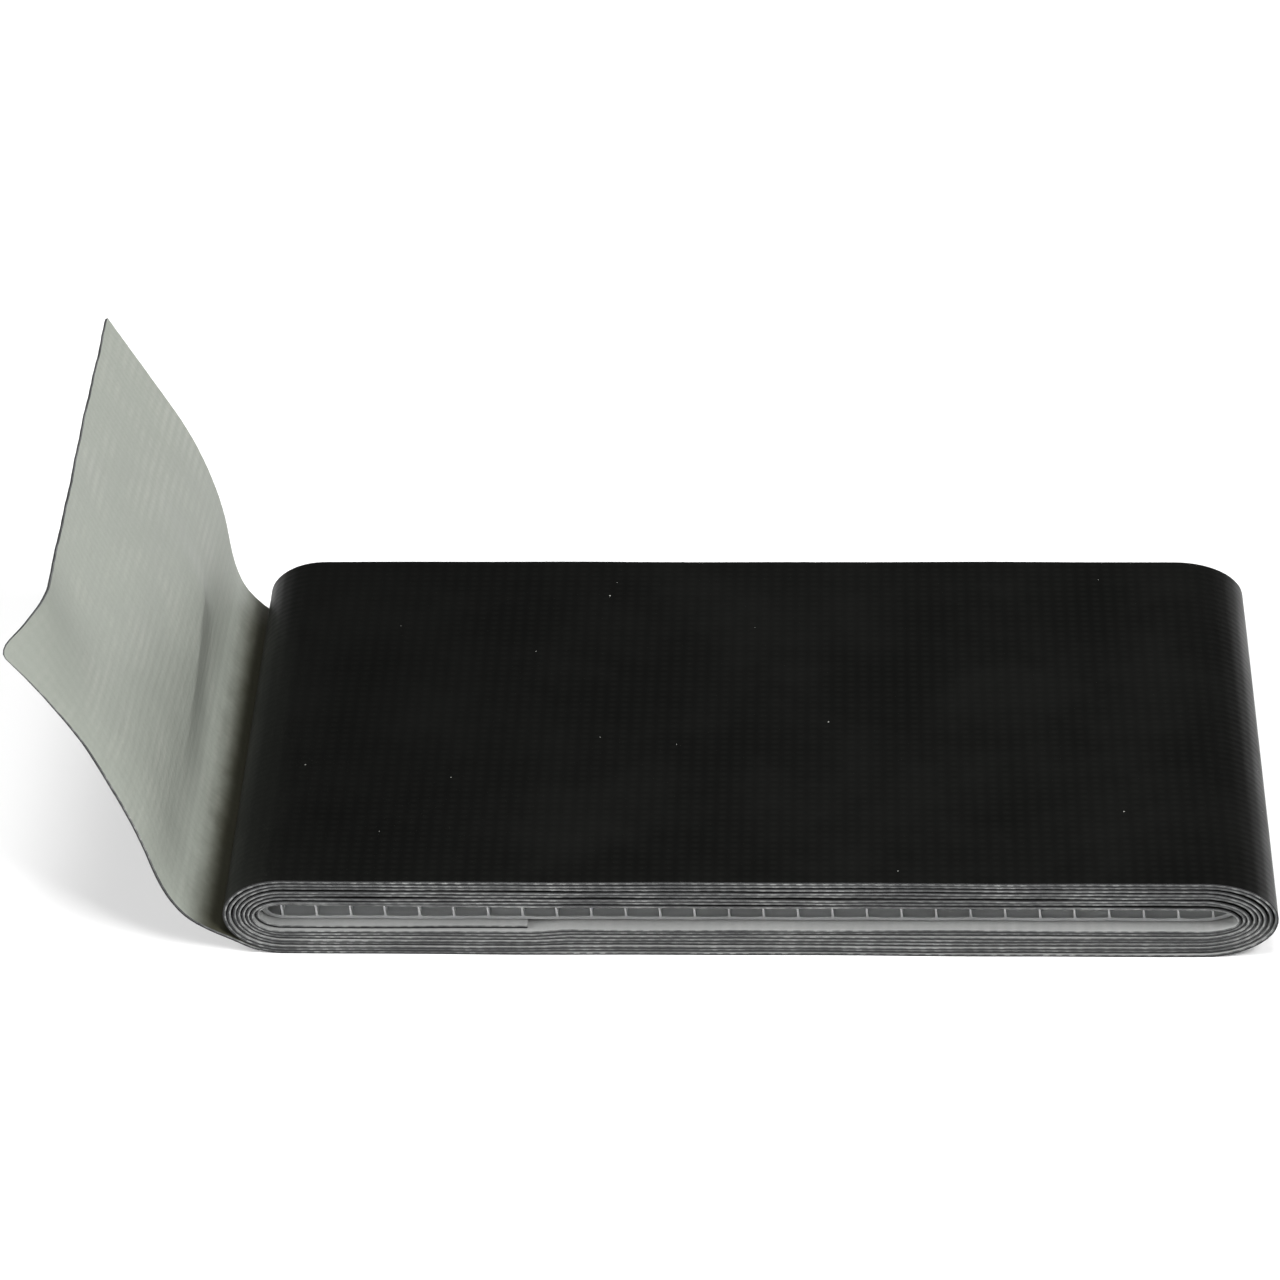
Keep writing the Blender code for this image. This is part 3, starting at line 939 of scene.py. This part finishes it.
def smooth_slopes(s, across):
    """The slopes averaged over a short length, so that no station shows as a line."""
    reach = 0.0011
    total = 0.0
    shifts = np.linspace(-reach, reach, 7)
    for shift in shifts:
        total = total + tail_slope(np.clip(s + shift, 0.0, TAIL_LENGTH), across[None, :])
    return total / len(shifts)


def grid_normals(points):
    """Unit normals of a grid, pointing to the film's side."""
    along = np.gradient(points, axis=0)
    cross = np.gradient(points, axis=1)
    normals = np.cross(along, cross)
    normals /= np.linalg.norm(normals, axis=2)[:, :, None]
    return normals


def crease(s, across):
    """A soft crease across most of the tail, where it was once folded: height towards the adhesive side."""
    side = s[:, None] - CREASE_PLACE - CREASE_SLANT * across[None, :]
    below = np.clip(1 + side / CREASE_BELOW, 0, 1) ** 1.4
    above = np.exp(-np.maximum(side, 0) / CREASE_ABOVE)
    profile = np.where(side < 0, below, above)
    profile = profile * ease((TAIL_LENGTH - s) / END_ZONE)[:, None]
    near = ease((across - CREASE_NEAR_END) / CREASE_NEAR_FADE)
    far = ease((CREASE_FAR_END - across) / CREASE_FAR_FADE)
    return CREASE_DEPTH * profile * (near * far)[None, :]


def tail_edge(s, seed):
    """Small unevenness of a cut edge."""
    return 0.00006 * wave(s, seed, (0.021, 0.009, 0.0031))


def tail_columns():
    """Places across the tail, close together at the two edges."""
    edge = np.array([0.0, 0.0001, 0.0003, 0.0006, 0.001, 0.0015])
    middle = np.linspace(0.002 - HALF_WIDTH, HALF_WIDTH - 0.002, 84)
    return np.concatenate([edge - HALF_WIDTH, middle, HALF_WIDTH - edge[::-1]])


def cut_to_shape(s, across):
    """Lengths along the tail for a whole grid: its last rows follow the slanting cut and rounded corner."""
    from_near = across + HALF_WIDTH
    corner = np.maximum(0.0, CORNER_RADIUS - from_near)
    rounded = CORNER_RADIUS - np.sqrt(CORNER_RADIUS**2 - corner**2)
    change = CUT_SLANT * from_near / (2 * HALF_WIDTH) - rounded
    share = np.maximum(0.0, (s - TAIL_LENGTH + END_ZONE) / END_ZONE)
    return s[:, None] + share[:, None] * change[None, :]


def split_lengths():
    """Where the tail's pieces meet: midway along each link, and the two ends."""
    middles = [(a + b) / 2 for a, b in zip(BEND_LINES, BEND_LINES[1:])]
    return [-PACK_OVERLAP, *middles, TAIL_LENGTH]


def tail_rows():
    """Lengths at which the tail has rows of points: an even step that meets every split."""
    step = WEFT_PITCH / TAIL_SAMPLES_PER_YARN
    rows = []
    pieces = []
    for start, stop in zip(split_lengths(), split_lengths()[1:]):
        count = max(4, round((stop - start) / step))
        first = max(len(rows) - 1, 0)
        rows += list(np.linspace(start, stop, count + 1)[(1 if rows else 0):])
        pieces.append((first, len(rows) - 1))
    return np.array(rows), pieces


def make_tail(peel_length, materials):
    """The tail's film and cloth, in a piece for each bending line."""
    s, ranges = tail_rows()
    across = tail_columns()
    sheet = tail_sheet_points(cut_to_shape(s, across), across)
    sheet = sheet - grid_normals(sheet) * crease(s, across)[:, :, None]
    length = peel_length + s
    uv = np.stack(np.meshgrid(length, across, indexing="ij"), -1)
    plies = {}
    for ply in PLY_FACES:
        grids = tail_ply_grids(ply, sheet, s, across, length)
        face_normals = np.stack([-grid_normals(grids[0]), grid_normals(grids[1])])
        plies[ply] = []
        for number, (first, last) in enumerate(ranges, 1):
            rows = slice(first, last + 1)
            piece = shell(
                f"tail_{number}_{ply}_sheet", grids[0][rows], grids[1][rows], uv[rows], materials[ply],
                point_normals=face_normals[:, rows].reshape(-1, 3),
            )
            bend_tail_piece(piece)
            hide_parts(f"tail_{number}_{ply}")
            plies[ply].append(piece)
    return plies


def bend_tail_piece(piece):
    """Bake a piece's placement into its mesh."""
    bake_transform(piece)


def tail_ply_grids(ply, sheet, s, across, length):
    """Inner and outer points of one ply of the whole tail, with the yarns in relief on the adhesive side."""
    normals = grid_normals(sheet)
    moved = sheet.copy()
    ends = 0.6 * cut_yarns(length) if ply == "adhesive" else 0.0
    for side in (-1, 1):
        reach = edge_zone(across, HALF_WIDTH, side, TAIL_EDGE_ZONE)
        moved[:, :, 1] += side * reach[None, :] * (tail_edge(s, 20 + side) + ends)[:, None]
    cut = 0.00010 * wave(across, 31, (0.023, 0.0071, 0.0023))
    weight = ease((s - TAIL_LENGTH + 0.002) / 0.002)
    moved += np.gradient(sheet, s, axis=0) * (weight[:, None] * cut[None, :])[:, :, None]
    low, high = PLY_FACES[ply]
    if ply == "adhesive":
        low = low - yarn_relief(length, across)[:, :, None]
    return moved + normals * low, moved + normals * high


def yarn_relief(length, across):
    """Rounded weft yarns and, fainter, warp yarns under the adhesive, uneven as sparse cloth is."""
    drift = 0.00012 * wave(across, 41, (0.029, 0.013, 0.006))
    weft = yarn_bump(length[:, None] + drift[None, :], WEFT_PITCH)
    strength = 0.75 + 0.25 * wave(length, 42)[:, None] * wave(across, 43, (0.017, 0.009, 0.004))[None, :]
    warp = yarn_bump(across + 0.0001, WARP_PITCH)[None, :]
    return YARN_RELIEF * (strength * weft + 0.4 * warp)


# ---------------------------------------------------------------- stage


def make_floor():
    """A plain pale paper floor."""
    mesh = bpy.data.meshes.new("floor")
    side = FLOOR_HALF_SIDE
    corners = [(-side, -side, 0), (side, -side, 0), (side, side, 0), (-side, side, 0)]
    mesh.from_pydata(corners, [], [(0, 1, 2, 3)])
    n = Nodes("floor_paper")
    mottle = n.noise(9.0, 3.0, 0.5)
    colour = n.mix(mottle, (0.91, 0.91, 0.91), (0.94, 0.94, 0.94))
    mesh.materials.append(n.finish(colour, n.spread(mottle, 0.3, 0.7, 0.7, 0.8), specular=0.2))
    linked("floor", mesh)


def make_light(name, place, target, size, watts):
    """A rectangular area light at a place, aimed at the target."""
    data = bpy.data.lights.new(name, "AREA")
    data.shape = "RECTANGLE"
    data.size, data.size_y = size
    data.energy = watts
    lamp = linked(name, data)
    lamp.location = place
    lamp.rotation_euler = (Vector(target) - Vector(place)).to_track_quat("-Z", "Y").to_euler()


def make_lights():
    """Four soft area lights round the object, and a weak even light from everywhere."""
    make_light("key", (0.42, -0.34, 0.62), target=(-0.02, 0.0, 0.0), size=(0.34, 0.34), watts=6.4)
    make_light("front", (-0.1, -0.86, 0.38), target=(0.0, 0.0, 0.0), size=(0.6, 0.3), watts=2.6)
    make_light("left", (-0.9, -0.2, 0.52), target=(-0.06, 0.0, 0.0), size=(0.5, 0.5), watts=11.5)
    make_light("overhead", (0.05, -0.1, 1.1), target=(0.0, 0.0, 0.0), size=(0.35, 0.35), watts=4.4)
    world = bpy.data.worlds.new("studio")
    world.use_nodes = True
    background = world.node_tree.nodes["Background"]
    background.inputs["Color"].default_value = (1.0, 1.0, 0.98, 1.0)
    background.inputs["Strength"].default_value = 0.10
    bpy.context.scene.world = world


def make_camera():
    """A camera that looks down at the front of the pack, rolled a little."""
    across = math.cos(CAMERA_ELEVATION)
    back = Vector((
        math.sin(CAMERA_AZIMUTH) * across,
        -math.cos(CAMERA_AZIMUTH) * across,
        math.sin(CAMERA_ELEVATION),
    ))
    right = (-back).cross(Vector((0, 0, 1))).normalized()
    up = right.cross(-back)
    rolled_right = math.cos(CAMERA_ROLL) * right + math.sin(CAMERA_ROLL) * up
    rolled_up = -math.sin(CAMERA_ROLL) * right + math.cos(CAMERA_ROLL) * up
    turn = Matrix((rolled_right, rolled_up, back)).transposed().to_4x4()
    data = bpy.data.cameras.new("camera")
    data.sensor_width = 36.0
    data.lens = CAMERA_LENS
    data.clip_start = 0.01
    data.clip_end = 20.0
    camera = linked("camera", data)
    camera.matrix_world = Matrix.Translation(Vector(CAMERA_TARGET) + back * CAMERA_DISTANCE) @ turn
    bpy.context.scene.camera = camera


def main():
    bpy.context.scene.view_settings.view_transform = "Standard"
    make_camera()
    make_lights()
    make_floor()
    outlines = wound_outlines()
    peel_length = PACK_OVERLAP + sum(arc_lengths(outline)[-1] for outline in outlines)
    adhesive = cloth_face(peel_length)
    materials = {
        "film": (film_face(), film_edge()),
        "adhesive": (adhesive, cloth_edge("cloth_edge", 0.45)),
        "outer adhesive": (adhesive, cloth_edge("cloth_edge_outer", 0.8)),
    }
    make_board()
    wound = make_wound_tape(outlines, materials)
    tail = make_tail(peel_length, materials)


main()
